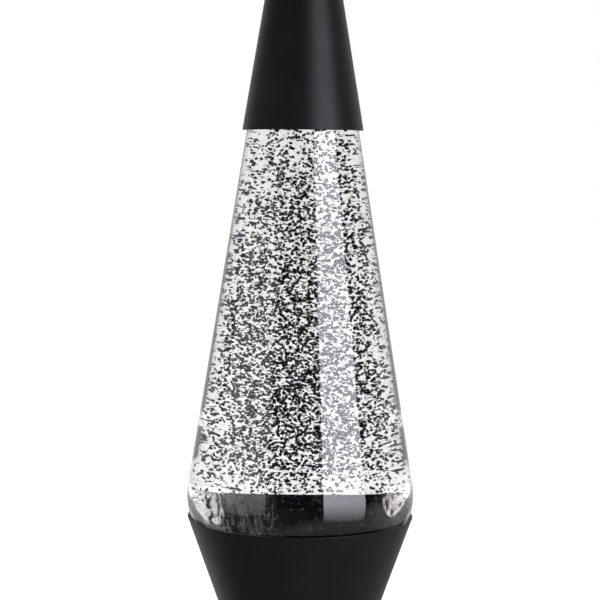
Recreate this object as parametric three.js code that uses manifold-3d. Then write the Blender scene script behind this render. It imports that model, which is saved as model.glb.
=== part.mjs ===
// A glitter lamp: a tapered bottle of clear liquid and glitter stands in an hourglass base of two
// spun aluminium cones, over a small screw-in bulb, and a loose aluminium cap covers its neck.
// Millimetres, +Z up. The origin is on the table, under the lamp's centre line.
import * as THREE from "three";
import { mergeVertices } from "three/addons/utils/BufferGeometryUtils.js";
import Module from "manifold-3d";

const wasm = await Module();
wasm.setup();

// ---------------------------------------------------------------- driving dimensions

const LAMP_HEIGHT = 368.3;
const RIM_HEIGHT = 147; // top edge of the base, where the bottle drops in
const GLASS_SHOWING = 157.8; // bottle that shows between the base and the cap
const WAIST_HEIGHT = 80; // where the two cones of the base meet
const SKIRT_BOTTOM = 1.5; // the cone's edge clears the table, and the foot ring stands on it

const RIM_RADIUS = 46.4;
const WAIST_RADIUS = 22.5;
const FOOT_RADIUS = 50;
const CAP_RADIUS = 24.6;
const CAP_TAPER = 0.167; // radius lost per millimetre of height
const CAP_SHEET = 0.7;
const BASE_SHEET = 0.8;

const BOTTLE_BOTTOM = 119;
const BOTTLE_WIDEST = 46.55;
const BOTTLE_BELLY_BEND = 28.5; // radius of the bend between the two tapers
const BOTTLE_TAPER = 0.1623;
const GLASS_WALL = 3.5;
const LIQUID_LEVEL = 326;
const MOUTH_HEIGHT = 360.6;

const GAP = 0.3; // between pieces that touch
const ROUND = 36; // sides of a large turned piece
const SMALL_ROUND = 24;

// ---------------------------------------------------------------- colours and finishes

function finish(color, roughness, metalness, more = {}) {
  return new THREE.MeshStandardMaterial({ color, roughness, metalness, ...more });
}

const SATIN_BLACK = finish(0x1c1c1d, 0.42, 0.6);
const CLEAR_GLASS = finish(0xf4f7f7, 0.03, 0, { transparent: true, opacity: 0.3 });
const CLEAR_LIQUID = finish(0xf2f4f4, 0.02, 0, { transparent: true, opacity: 0.25 });
const TINPLATE = finish(0xc9c7c0, 0.3, 1);
const ZINC_STEEL = finish(0xaeb0b2, 0.38, 1);
const BRASS = finish(0xc39a45, 0.35, 1);
const SOLDER = finish(0x9a9b9d, 0.45, 1);
const TUNGSTEN = finish(0x6f7072, 0.5, 1);
const PHENOLIC = finish(0x2a211c, 0.45, 0);
const BLACK_GLASS = finish(0x111114, 0.2, 0);
const BLACK_PLASTIC = finish(0x1a1a1a, 0.6, 0);
const BLACK_RUBBER = finish(0x161616, 0.85, 0);
const WHITE_LINER = finish(0xe4e2da, 0.6, 0);
const BLACK_WIRE = finish(0x18181a, 0.5, 0);
const WHITE_WIRE = finish(0xd9d8d2, 0.5, 0);
const NYLON = finish(0xd8d2bf, 0.55, 0);

// ---------------------------------------------------------------- shape helpers

// Turns a profile of [radius, height] points about Z. It runs down the outside and back up the inside.
function turned(profile, sides = ROUND) {
  const points = profile.map(([radius, height]) => new THREE.Vector2(Math.max(radius, 0), height));
  return new THREE.LatheGeometry(points.reverse(), sides).rotateX(Math.PI / 2);
}

function turnedRing(inner, outer, bottom, top, sides = ROUND) {
  return turned([[inner, top], [outer, top], [outer, bottom], [inner, bottom], [inner, top]], sides);
}

function turnedDisc(radius, bottom, top, sides = SMALL_ROUND) {
  return turned([[0, top], [radius, top], [radius, bottom], [0, bottom]], sides);
}

// Points on an arc about [radius, height], from one angle to another, 0 being outwards.
function arc(radius, height, bend, from, to, steps) {
  return Array.from({ length: steps + 1 }, (_, i) => {
    const angle = from + ((to - from) * i) / steps;
    return [radius + bend * Math.cos(angle), height + bend * Math.sin(angle)];
  });
}

// Points on a smooth shoulder from [radius, height] to another, leaving and arriving along two tangents.
function shoulder(start, startPull, endPull, end, steps) {
  const ends = [start, startPull, endPull, end].map(([x, y]) => new THREE.Vector2(x, y));
  const curve = new THREE.CubicBezierCurve(...ends);
  return curve.getPoints(steps).map((point) => [point.x, point.y]);
}

// A rod along Z, with a flat on +X where it has six sides.
function rod(radius, bottom, top, sides = 16, turn = 0) {
  const length = top - bottom;
  return new THREE.CylinderGeometry(radius, radius, length, sides)
    .rotateX(Math.PI / 2)
    .rotateZ(turn)
    .translate(0, 0, bottom + length / 2);
}

function hexNut(acrossFlats, hole, bottom, top) {
  const body = rod(acrossFlats / 2 / Math.cos(Math.PI / 6), bottom, top, 6);
  return cut(body, rod(hole, bottom - 1, top + 1));
}

function solidOf(geometry) {
  const bare = geometry.clone().deleteAttribute("normal").deleteAttribute("uv");
  const merged = mergeVertices(bare, 1e-4);
  return new wasm.Manifold(
    new wasm.Mesh({
      numProp: 3,
      vertProperties: merged.attributes.position.array,
      triVerts: new Uint32Array(merged.index.array),
    }),
  );
}

function geometryOf(solid) {
  const mesh = solid.getMesh();
  return new THREE.BufferGeometry()
    .setAttribute("position", new THREE.BufferAttribute(mesh.vertProperties, 3))
    .setIndex(new THREE.BufferAttribute(mesh.triVerts, 1));
}

function cut(body, ...tools) {
  return geometryOf(tools.reduce((left, tool) => left.subtract(solidOf(tool)), solidOf(body)));
}

function join(body, ...others) {
  return geometryOf(others.reduce((made, other) => made.add(solidOf(other)), solidOf(body)));
}

// Moves each vertex in or out from the Z axis by change(angle, height, radius).
function reshape(geometry, change) {
  const place = geometry.attributes.position;
  for (let i = 0; i < place.count; i++) {
    const [x, y, z] = [place.getX(i), place.getY(i), place.getZ(i)];
    const radius = Math.hypot(x, y);
    if (radius < 1e-6) continue;
    const scale = (radius + change(Math.atan2(y, x), z, radius)) / radius;
    place.setXY(i, x * scale, y * scale);
  }
  return geometry;
}

function wire(radius, points, steps) {
  const route = new THREE.CatmullRomCurve3(points.map((p) => new THREE.Vector3(...p)));
  const section = new THREE.Shape().absarc(0, 0, radius, 0, 2 * Math.PI);
  return new THREE.ExtrudeGeometry(section, { steps, curveSegments: 4, extrudePath: route });
}

// ---------------------------------------------------------------- the base

const CUP_TAPER = (RIM_RADIUS - WAIST_RADIUS) / (RIM_HEIGHT - WAIST_HEIGHT);
const SKIRT_TOP = WAIST_HEIGHT - GAP;
const SKIRT_TAPER = (FOOT_RADIUS - WAIST_RADIUS) / (SKIRT_TOP - SKIRT_BOTTOM);
const WAIST_HOLE = 18.6; // through both cones, the bracket and the collar that clamps them

const sheetAcross = (taper) => BASE_SHEET * Math.hypot(1, taper);
const cupOutside = (height) => WAIST_RADIUS + CUP_TAPER * (height - WAIST_HEIGHT);
const cupInside = (height) => cupOutside(height) - sheetAcross(CUP_TAPER);
const skirtOutside = (height) => WAIST_RADIUS + SKIRT_TAPER * (SKIRT_TOP - height);
const skirtInside = (height) => skirtOutside(height) - sheetAcross(SKIRT_TAPER);

function baseCup() {
  const floor = WAIST_HEIGHT + BASE_SHEET;
  return turned([
    [cupInside(RIM_HEIGHT), RIM_HEIGHT],
    [RIM_RADIUS, RIM_HEIGHT],
    [WAIST_RADIUS, WAIST_HEIGHT],
    [WAIST_HOLE, WAIST_HEIGHT],
    [WAIST_HOLE, floor],
    [cupInside(floor), floor],
    [cupInside(RIM_HEIGHT), RIM_HEIGHT],
  ]);
}

// The cord's inlet is in the back of the skirt, square to its slope.
const INLET_HEIGHT = 18;
const INLET_BORE = 4;
const INLET_HOLE = 5.5;
const INLET_FLANGE = 7.5;
const INLET_LEAN = Math.atan(SKIRT_TAPER);

// Takes a piece turned about Z, with z = 0 at the sheet's outside, to the inlet in the back of the skirt.
function atInlet(geometry) {
  return geometry
    .rotateX(INLET_LEAN - Math.PI / 2)
    .translate(0, skirtOutside(INLET_HEIGHT), INLET_HEIGHT);
}

function baseSkirt() {
  const ceiling = SKIRT_TOP - BASE_SHEET;
  const cone = turned([
    [WAIST_HOLE, SKIRT_TOP],
    [WAIST_RADIUS, SKIRT_TOP],
    [FOOT_RADIUS, SKIRT_BOTTOM],
    [skirtInside(SKIRT_BOTTOM), SKIRT_BOTTOM],
    [skirtInside(ceiling), ceiling],
    [WAIST_HOLE, ceiling],
    [WAIST_HOLE, SKIRT_TOP],
  ]);
  return cut(cone, atInlet(rod(INLET_HOLE, -4, 4, 24)));
}

// Rubber bush with a flange on each side of the sheet; the flat flanges clear the sheet's curve.
function inletGrommet() {
  const outer = 0.9;
  const inner = -BASE_SHEET - 0.9;
  const flange = 1.6;
  const body = INLET_HOLE - GAP;
  return atInlet(
    turned(
      [
        [INLET_BORE, outer + flange],
        [INLET_FLANGE, outer + flange],
        [INLET_FLANGE, outer],
        [body, outer],
        [body, inner],
        [INLET_FLANGE, inner],
        [INLET_FLANGE, inner - flange],
        [INLET_BORE, inner - flange],
        [INLET_BORE, outer + flange],
      ],
      24,
    ),
  );
}

// The threaded collar hangs by its flange in the cup, and its ring nut clamps both cones and the bracket.
const COLLAR_BORE = 16.4;
const COLLAR_RADIUS = WAIST_HOLE - 0.4;
const COLLAR_FLANGE = 20.6;
const COLLAR_FLANGE_SHEET = 1.2;
const COLLAR_BOTTOM = 70.5;
const RING_NUT_RADIUS = 19.9;
const RING_NUT_HEIGHT = 4.5;
const RING_NUT_NOTCH = 3;
const RING_NUT_NOTCH_DEPTH = 1.2;
const BRACKET_SHEET = 1;
const BRACKET_TOP = SKIRT_TOP - BASE_SHEET - GAP;
const BRACKET_HALF = 21.2;

function waistCollar() {
  const seat = WAIST_HEIGHT + BASE_SHEET + GAP;
  const top = seat + COLLAR_FLANGE_SHEET;
  return turned([
    [COLLAR_BORE, top],
    [COLLAR_FLANGE, top],
    [COLLAR_FLANGE, seat],
    [COLLAR_RADIUS, seat],
    [COLLAR_RADIUS, COLLAR_BOTTOM],
    [COLLAR_BORE, COLLAR_BOTTOM],
    [COLLAR_BORE, top],
  ]);
}

function waistNut() {
  const top = BRACKET_TOP - BRACKET_SHEET - GAP;
  const bottom = top - RING_NUT_HEIGHT;
  const ring = turnedRing(COLLAR_RADIUS + GAP, RING_NUT_RADIUS, bottom, top);
  const notches = [0, 1, 2].map((i) =>
    new THREE.BoxGeometry(3 * RING_NUT_RADIUS, RING_NUT_NOTCH, 2 * RING_NUT_NOTCH_DEPTH)
      .translate(0, 0, bottom)
      .rotateZ(((i + 0.5) * Math.PI) / 3),
  );
  return cut(ring, ...notches);
}

// ---------------------------------------------------------------- socket and its bracket

const CROSSBAR_TOP = 43.7;
const CROSSBAR_BOTTOM = CROSSBAR_TOP - BRACKET_SHEET;
const SOCKET_BOTTOM = CROSSBAR_TOP + GAP;
const SOCKET_FLOOR = 49.5;
const SOCKET_TOP = 68.5;
const SOCKET_RADIUS = 12.2;
const SOCKET_BORE = 9.9;
const SOCKET_SCREW_OFFSET = 7.5;
const SOCKET_SCREW_HOLE = 1.7;
const SOCKET_SCREW_RADIUS = 1.4;
const SOCKET_SCREW_HEAD = 2.6;
const SCREW_HEAD_HEIGHT = 2;
const SCREW_HEAD_CHAMFER = 0.8;
const STRAP_HALF_WIDTH = 4;

// Extrudes an outline of [x, z] points along Y, centred on y = 0.
function strip(outline, width) {
  const shape = new THREE.Shape(outline.map(([x, z]) => new THREE.Vector2(x, z)));
  return new THREE.ExtrudeGeometry(shape, { depth: width, bevelEnabled: false })
    .rotateX(Math.PI / 2)
    .translate(0, width / 2, 0);
}

function socketScrewHoles(bottom, top) {
  const hole = () => rod(SOCKET_SCREW_HOLE, bottom, top);
  return [-1, 1].map((side) => hole().translate(side * SOCKET_SCREW_OFFSET, 0, 0));
}

function socketBracket() {
  const inner = BRACKET_HALF - BRACKET_SHEET;
  const ring = turnedRing(WAIST_HOLE, BRACKET_HALF, BRACKET_TOP - BRACKET_SHEET, BRACKET_TOP);
  const stirrup = strip(
    [
      [-BRACKET_HALF, BRACKET_TOP],
      [-BRACKET_HALF, CROSSBAR_BOTTOM],
      [BRACKET_HALF, CROSSBAR_BOTTOM],
      [BRACKET_HALF, BRACKET_TOP],
      [inner, BRACKET_TOP],
      [inner, CROSSBAR_TOP],
      [-inner, CROSSBAR_TOP],
      [-inner, BRACKET_TOP],
    ],
    2 * STRAP_HALF_WIDTH,
  );
  const holes = socketScrewHoles(CROSSBAR_BOTTOM - 1, CROSSBAR_TOP + 1);
  return cut(join(ring, stirrup), ...holes);
}

function socketBody() {
  const cup = turned(
    [
      [SOCKET_BORE, SOCKET_TOP],
      [SOCKET_RADIUS, SOCKET_TOP],
      [SOCKET_RADIUS, SOCKET_BOTTOM],
      [0, SOCKET_BOTTOM],
      [0, SOCKET_FLOOR],
      [SOCKET_BORE, SOCKET_FLOOR],
      [SOCKET_BORE, SOCKET_TOP],
    ],
    SMALL_ROUND,
  );
  const holes = socketScrewHoles(SOCKET_BOTTOM - 1, SOCKET_FLOOR - 0.6);
  return cut(cup, ...holes);
}

// Knuckle thread of an intermediate (17 mm) lamp base: it rises one pitch in each turn.
const THREAD_PITCH = 2.822;
const THREAD_DEPTH = 0.25;
const THREAD_RADIUS = 8.1;
const THREAD_SIDES = 16;
const THREAD_ROWS = 4; // in each pitch
const THREAD_PLAY = 0.75; // crests clear each other at every turn of the bulb
const SHELL_SHEET = 0.4;

// A thin tube whose wall is rolled into the knuckle thread.
function rolledTube(inner, outer, bottom, top) {
  const rows = Math.round((THREAD_ROWS * (top - bottom)) / THREAD_PITCH);
  const heights = Array.from({ length: rows + 1 }, (_, i) => top - ((top - bottom) * i) / rows);
  const profile = [
    ...heights.map((height) => [outer, height]),
    ...[...heights].reverse().map((height) => [inner, height]),
    [outer, top],
  ];
  return reshape(turned(profile, THREAD_SIDES), (angle, height) => {
    return THREAD_DEPTH * Math.cos((2 * Math.PI * height) / THREAD_PITCH - angle);
  });
}

function socketShell() {
  const inner = THREAD_RADIUS + THREAD_PLAY;
  return rolledTube(inner, inner + SHELL_SHEET, SOCKET_FLOOR + 2, SOCKET_TOP - 0.6);
}

// Springy strip on the socket's floor that bears on the bulb's tip.
function socketContact() {
  const low = SOCKET_FLOOR + GAP;
  const high = low + 1;
  const sheet = 0.4;
  const tail = -7;
  const [bendStart, bendEnd] = [-3.2, -1.4];
  const tongue = 2.6;
  const width = 4;
  return strip(
    [
      [tail, low],
      [bendStart, low],
      [bendEnd, high],
      [tongue, high],
      [tongue, high + sheet],
      [bendEnd - sheet / 2, high + sheet],
      [bendStart - sheet / 2, low + sheet],
      [tail, low + sheet],
    ],
    width,
  );
}

function socketScrew() {
  const end = SOCKET_FLOOR - 1;
  const seat = CROSSBAR_BOTTOM - GAP;
  const headBottom = seat - SCREW_HEAD_HEIGHT;
  return turned(
    [
      [0, end],
      [SOCKET_SCREW_RADIUS, end],
      [SOCKET_SCREW_RADIUS, seat],
      [SOCKET_SCREW_HEAD, seat],
      [SOCKET_SCREW_HEAD, headBottom + SCREW_HEAD_CHAMFER],
      [SOCKET_SCREW_HEAD - 0.9, headBottom],
      [0, headBottom],
    ],
    16,
  );
}

// ---------------------------------------------------------------- the bulb

const BULB_TOP = 109.5;
const BULB_RADIUS = 17.45;
const BULB_TIP = 51.5;
const BULB_SHELL_BOTTOM = 55;
const BULB_SHELL_TOP = 69;
const BULB_SHELL_SHEET = 0.35;
const INSULATOR_BOTTOM = 52.9;
const BULB_NECK_BOTTOM = 66.5;
const BULB_NECK = 7.2;
const BULB_NECK_TOP = 72;
const BULB_WALL = 0.8;
const BULB_BALL_END = THREE.MathUtils.degToRad(-52); // where the ball gives way to the neck's flare

function bulbSide(radius, neck, bottom) {
  const ball = arc(0, BULB_TOP - BULB_RADIUS, radius, Math.PI / 2, BULB_BALL_END, 8);
  const [ballRadius, ballHeight] = ball[ball.length - 1];
  const flare = shoulder(
    [ballRadius, ballHeight],
    [ballRadius - 2.4, ballHeight - 2],
    [neck, BULB_NECK_TOP + 4],
    [neck, BULB_NECK_TOP],
    4,
  );
  return [...ball, ...flare.slice(1), [neck, bottom]];
}

function bulbGlass() {
  const outside = bulbSide(BULB_RADIUS, BULB_NECK, BULB_NECK_BOTTOM);
  const inside = bulbSide(BULB_RADIUS - BULB_WALL, BULB_NECK - BULB_WALL, BULB_NECK_BOTTOM);
  return turned([...outside, ...inside.reverse()], 24);
}

function bulbShell() {
  return rolledTube(THREAD_RADIUS - BULB_SHELL_SHEET, THREAD_RADIUS, BULB_SHELL_BOTTOM, BULB_SHELL_TOP);
}

function bulbInsulator() {
  const top = BULB_SHELL_BOTTOM - GAP;
  const [wide, narrow] = [7.2, 3.4];
  return turned([[0, top], [wide, top], [narrow, INSULATOR_BOTTOM], [0, INSULATOR_BOTTOM]], 24);
}

function bulbTip() {
  const top = INSULATOR_BOTTOM - GAP;
  const [wide, narrow] = [2.6, 2.1];
  return turned([[0, top], [wide, top], [narrow, BULB_TIP + GAP], [0, BULB_TIP]], 16);
}

const STEM_TOP = 82;
const FILAMENT_HEIGHT = 91;
const FILAMENT_HALF = 6;
const FILAMENT_RISE = 1.5; // in the middle of its bow
const FILAMENT_RADIUS = 0.45; // of the coil
const SUPPORT_RADIUS = 0.35;

function bulbStem() {
  const foot = BULB_NECK_BOTTOM + GAP;
  const [tip, waist, flare] = [1.8, 2.4, 5.9];
  return turned([[0, STEM_TOP], [tip, STEM_TOP - 1], [waist, BULB_NECK_TOP], [flare, foot], [0, foot]], 16);
}

function supportWire(side) {
  const foot = [side * 1.1, 0, STEM_TOP + GAP];
  const bend = [side * 2.6, 0, STEM_TOP + 4];
  const head = [side * FILAMENT_HALF, 0, FILAMENT_HEIGHT - FILAMENT_RADIUS - 0.45];
  return wire(SUPPORT_RADIUS, [foot, bend, head], 6);
}

function filament() {
  const half = FILAMENT_HALF;
  const ends = [-half, -half / 2, 0, half / 2, half];
  const bow = ends.map((x) => [x, 0, FILAMENT_HEIGHT + FILAMENT_RISE * (1 - (x / half) ** 2)]);
  return wire(FILAMENT_RADIUS, bow, 8);
}

// ---------------------------------------------------------------- bottom plate, foot and leads

const PLATE_BOTTOM = 2;
const PLATE_SHEET = 2;
const PLATE_HUB_BOTTOM = 5;
const PLATE_HUB_RADIUS = 8; // of the flat under the hub, where the screw pulls
const PLATE_HUB_SLOPE = 4;
const PLATE_SCREW = 2;
const VENTS = 12;
const VENT_LENGTH = 14;
const VENT_WIDTH = 2.6;
const VENT_RADIUS = 25; // to the middle of each slot
const WASHER_RADIUS = 5;
const WASHER_SHEET = 0.8;
const WASHER_BOTTOM = 3.9;

function basePlate() {
  const top = PLATE_BOTTOM + PLATE_SHEET;
  const hubTop = PLATE_HUB_BOTTOM + PLATE_SHEET;
  const hole = PLATE_SCREW + GAP;
  const hubInside = PLATE_HUB_RADIUS + 1;
  const dish = turned([
    [hole, hubTop],
    [hubInside, hubTop],
    [hubInside + PLATE_HUB_SLOPE, top],
    [skirtInside(top) - GAP, top],
    [skirtInside(PLATE_BOTTOM) - GAP, PLATE_BOTTOM],
    [PLATE_HUB_RADIUS + PLATE_HUB_SLOPE, PLATE_BOTTOM],
    [PLATE_HUB_RADIUS, PLATE_HUB_BOTTOM],
    [hole, PLATE_HUB_BOTTOM],
    [hole, hubTop],
  ]);
  const slots = Array.from({ length: VENTS }, (_, i) =>
    new THREE.BoxGeometry(VENT_LENGTH, VENT_WIDTH, 10 * PLATE_SHEET)
      .translate(VENT_RADIUS, 0, 0)
      .rotateZ((2 * Math.PI * (i + 0.5)) / VENTS),
  );
  return cut(dish, ...slots);
}

function plateWasher() {
  return turnedRing(PLATE_SCREW + GAP, WASHER_RADIUS, WASHER_BOTTOM, WASHER_BOTTOM + WASHER_SHEET, 24);
}

// One long screw from the plate up to the nut under the bracket's crossbar.
function plateScrew() {
  const seat = WASHER_BOTTOM - GAP;
  const end = CROSSBAR_BOTTOM - 0.7;
  const head = 3.7;
  const headBottom = seat - SCREW_HEAD_HEIGHT;
  const shank = [[0, end], [PLATE_SCREW, end], [PLATE_SCREW, seat]];
  const rim = [[head, seat], [head, headBottom + SCREW_HEAD_CHAMFER], [head - 1.3, headBottom]];
  return turned([...shank, ...rim, [0, headBottom]], 20);
}

function plateNut() {
  const top = CROSSBAR_BOTTOM - GAP;
  const [acrossFlats, height] = [7, 3.6];
  return hexNut(acrossFlats, PLATE_SCREW + GAP, top - height, top);
}

function footRing() {
  const [inner, outer] = [39, 46.5];
  return turnedRing(inner, outer, 0, PLATE_BOTTOM - GAP);
}

// An insulated lead runs from the socket's side down to its crimp, beside the plate.
const CRIMP_X = 7;
const CRIMP_Y = 26;
const CRIMP_BOTTOM = 8;
const CRIMP_TOP = 20;
const CRIMP_RADIUS = 2.8;
const LEAD_RADIUS = 0.95; // over its insulation

function lead(side) {
  const route = [
    [0, SOCKET_RADIUS + GAP + 0.1, 47],
    [1, SOCKET_RADIUS + 5, 44.5],
    [4, 23, 36],
    [CRIMP_X, CRIMP_Y, 28],
    [CRIMP_X, CRIMP_Y, CRIMP_TOP + GAP],
  ];
  return wire(LEAD_RADIUS, route.map(([x, y, z]) => [side * x, side * y, z]), 18);
}

function crimp(side) {
  const profile = [
    [0, CRIMP_TOP],
    [CRIMP_RADIUS, CRIMP_TOP],
    [CRIMP_RADIUS, CRIMP_BOTTOM + 1.6],
    [CRIMP_RADIUS - 1.2, CRIMP_BOTTOM],
    [0, CRIMP_BOTTOM],
  ];
  return turned(profile, 16).translate(side * CRIMP_X, side * CRIMP_Y, 0);
}

// ---------------------------------------------------------------- the bottle and what seals it

const CAP_BOTTOM = RIM_HEIGHT + GLASS_SHOWING;
const TAPER_TOP = 318.3;
const NECK_BOTTOM = 345;
const NECK_RADIUS = 12.3;
const SHOULDER_PULL = 12;
const MOUTH_BORE = 8.7;
const LIP_RADIUS = 12.1;
const BEAD_RADIUS = 13.25; // of the locking ring
const CARRY_RADIUS = 13.2; // of the carrying bead under it
const CARRY_HEIGHT = 351;
const HEEL_BEND = 5;
const INNER_HEEL_BEND = 8;
const INNER_BOTTOM = 123;
const INNER_FLOOR = [[0, 126], [14, 124.6]]; // the floor rises towards the middle
const PUNT = [[24, BOTTLE_BOTTOM], [16, 120.6], [0, 122.5]];
const UPPER_LEAN = Math.atan(BOTTLE_TAPER);
const LOWER_LEAN = Math.atan(CUP_TAPER);

const SEAT_RADIUS = cupInside(RIM_HEIGHT) - GAP * Math.hypot(1, CUP_TAPER);
const LOWER_TANGENT = BOTTLE_WIDEST - BOTTLE_BELLY_BEND * (1 - Math.cos(LOWER_LEAN));
const BOTTLE_WIDEST_HEIGHT =
  RIM_HEIGHT + (LOWER_TANGENT - SEAT_RADIUS) / CUP_TAPER + BOTTLE_BELLY_BEND * Math.sin(LOWER_LEAN);

// The bottle's outside between the belly and the shoulder.
function taperedOutside(height) {
  const centre = BOTTLE_WIDEST - BOTTLE_BELLY_BEND;
  const start = BOTTLE_WIDEST_HEIGHT + BOTTLE_BELLY_BEND * Math.sin(UPPER_LEAN);
  return centre + BOTTLE_BELLY_BEND * Math.cos(UPPER_LEAN) - BOTTLE_TAPER * (height - start);
}

// The side of the bottle from its neck down to its heel, moved in from the outside by inset.
function bottleSide(inset, neck, heelBend, bottom) {
  const bellyCentre = BOTTLE_WIDEST - BOTTLE_BELLY_BEND;
  const bend = BOTTLE_BELLY_BEND - inset;
  const belly = arc(bellyCentre, BOTTLE_WIDEST_HEIGHT, bend, UPPER_LEAN, -LOWER_LEAN, 4);
  const [upperRadius, upperHeight] = belly[0];
  const taperTop = [upperRadius - BOTTLE_TAPER * (TAPER_TOP - upperHeight), TAPER_TOP];
  const top = shoulder(
    [neck, NECK_BOTTOM],
    [neck, NECK_BOTTOM - SHOULDER_PULL],
    [taperTop[0] - BOTTLE_TAPER * SHOULDER_PULL, TAPER_TOP + SHOULDER_PULL],
    taperTop,
    5,
  );
  const [lowerRadius, lowerHeight] = belly[belly.length - 1];
  const coneRadius = (height) => lowerRadius - CUP_TAPER * (lowerHeight - height);
  const heelHeight = bottom + heelBend;
  const heelCentre = coneRadius(heelHeight) - heelBend * Math.hypot(1, CUP_TAPER);
  const heel = arc(heelCentre, heelHeight, heelBend, -LOWER_LEAN, -Math.PI / 2, 3);
  return [...top, ...belly, ...heel];
}

// Its mouth takes a 26 mm crown: a locking ring under a rounded lip, over a carrying bead.
function mouthOutside() {
  return [
    [MOUTH_BORE, MOUTH_HEIGHT],
    [LIP_RADIUS, MOUTH_HEIGHT],
    [BEAD_RADIUS, MOUTH_HEIGHT - 2.4],
    [BEAD_RADIUS, MOUTH_HEIGHT - 3.6],
    [LIP_RADIUS, MOUTH_HEIGHT - 5],
    [LIP_RADIUS, CARRY_HEIGHT + 2],
    [CARRY_RADIUS, CARRY_HEIGHT + 1],
    [CARRY_RADIUS, CARRY_HEIGHT - 1],
    [NECK_RADIUS, CARRY_HEIGHT - 2.5],
  ];
}

function bottleInside(gap) {
  return bottleSide(GLASS_WALL + gap, MOUTH_BORE - gap, INNER_HEEL_BEND, INNER_BOTTOM + gap);
}

function bottleGlass() {
  const side = bottleSide(0, NECK_RADIUS, HEEL_BEND, BOTTLE_BOTTOM);
  const inside = [...INNER_FLOOR, ...bottleInside(0).reverse(), [MOUTH_BORE, MOUTH_HEIGHT]];
  return turned([...mouthOutside(), ...side, ...PUNT, ...inside]);
}

function liquidFill() {
  const side = bottleInside(GAP).filter(([, height]) => height < LIQUID_LEVEL);
  const neckward = bottleInside(GAP).filter(([, height]) => height >= LIQUID_LEVEL).pop();
  const share = (LIQUID_LEVEL - side[0][1]) / (neckward[1] - side[0][1]);
  const surface = side[0][0] + share * (neckward[0] - side[0][0]);
  const floor = INNER_FLOOR.map(([radius, height]) => [radius, height + GAP]).reverse();
  return turned([[0, LIQUID_LEVEL], [surface, LIQUID_LEVEL], ...side, ...floor]);
}

const CROWN_TOP = 362.2;
const CROWN_BOTTOM = 355.6;
const CROWN_EDGE = 14.4;
const CROWN_SHEET = 0.5;
const CROWN_FLUTES = 21;
const FLUTE_DEPTH = 0.3;

// Pressed steel crown, crimped round the mouth in flutes that deepen towards its edge.
function crownCap() {
  const panel = CROWN_EDGE - 1.8;
  const corner = CROWN_EDGE - 0.6;
  const middle = CROWN_EDGE - 0.3;
  const middleHeight = CROWN_BOTTOM + 2.8;
  const profile = [
    [0, CROWN_TOP],
    [panel, CROWN_TOP],
    [corner, CROWN_TOP - 1.2],
    [middle, middleHeight],
    [CROWN_EDGE, CROWN_BOTTOM],
    [CROWN_EDGE - CROWN_SHEET, CROWN_BOTTOM],
    [middle - CROWN_SHEET, middleHeight],
    [corner - CROWN_SHEET, CROWN_TOP - 1.6],
    [panel - 0.2, CROWN_TOP - CROWN_SHEET],
    [0, CROWN_TOP - CROWN_SHEET],
  ];
  const fluted = turned(profile, 4 * CROWN_FLUTES);
  return reshape(fluted, (angle, height, radius) => {
    const down = THREE.MathUtils.clamp((CROWN_TOP - 1 - height) / (CROWN_TOP - 1 - CROWN_BOTTOM), 0, 1);
    return radius > panel + 0.4 ? FLUTE_DEPTH * down * Math.cos(CROWN_FLUTES * angle) : 0;
  });
}

function crownLiner() {
  const radius = LIP_RADIUS + 0.1;
  return turnedDisc(radius, MOUTH_HEIGHT + GAP, CROWN_TOP - CROWN_SHEET - GAP);
}

// ---------------------------------------------------------------- the cap

const CAP_EDGE_BEND = 1.2;
const CAP_HEM = 2; // height of the hem rolled into the cap's lower edge, which rides on the glass

function capShell() {
  const side = (height, inset) => CAP_RADIUS - CAP_TAPER * (height - CAP_BOTTOM) - inset;
  const edgeHeight = LAMP_HEIGHT - CAP_EDGE_BEND;
  const topEdge = arc(side(edgeHeight, CAP_EDGE_BEND), edgeHeight, CAP_EDGE_BEND, Math.PI / 2, 0, 4);
  const ceiling = LAMP_HEIGHT - CAP_SHEET;
  return turned([
    [0, LAMP_HEIGHT],
    ...topEdge,
    [CAP_RADIUS, CAP_BOTTOM],
    [taperedOutside(CAP_BOTTOM) + GAP, CAP_BOTTOM],
    [taperedOutside(CAP_BOTTOM + CAP_HEM) + GAP, CAP_BOTTOM + CAP_HEM],
    [side(CAP_BOTTOM + CAP_HEM, CAP_SHEET), CAP_BOTTOM + CAP_HEM],
    [side(ceiling, CAP_SHEET + 0.3), ceiling],
    [0, ceiling],
  ]);
}

// ---------------------------------------------------------------- the lamp

const lamp = new THREE.Group();

function place(group, name, geometry, material, x = 0) {
  const mesh = new THREE.Mesh(geometry, material);
  mesh.name = name;
  mesh.position.x = x;
  group.add(mesh);
}

const base = new THREE.Group();
place(base, "base_cup", baseCup(), SATIN_BLACK);
place(base, "base_skirt", baseSkirt(), SATIN_BLACK);
place(base, "waist_collar", waistCollar(), ZINC_STEEL);
place(base, "waist_nut", waistNut(), ZINC_STEEL);
place(base, "socket_bracket", socketBracket(), ZINC_STEEL);
place(base, "socket_body", socketBody(), PHENOLIC);
place(base, "socket_shell", socketShell(), BRASS);
place(base, "socket_contact", socketContact(), BRASS);
place(base, "socket_screw_left", socketScrew(), ZINC_STEEL, -SOCKET_SCREW_OFFSET);
place(base, "socket_screw_right", socketScrew(), ZINC_STEEL, SOCKET_SCREW_OFFSET);
place(base, "base_plate", basePlate(), BLACK_PLASTIC);
place(base, "plate_screw", plateScrew(), ZINC_STEEL);
place(base, "plate_washer", plateWasher(), ZINC_STEEL);
place(base, "plate_nut", plateNut(), ZINC_STEEL);
place(base, "foot_ring", footRing(), BLACK_RUBBER);
place(base, "inlet_grommet", inletGrommet(), BLACK_RUBBER);
place(base, "lead_live", lead(1), BLACK_WIRE);
place(base, "lead_neutral", lead(-1), WHITE_WIRE);
place(base, "crimp_live", crimp(1), NYLON);
place(base, "crimp_neutral", crimp(-1), NYLON);
lamp.add(base);

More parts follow.
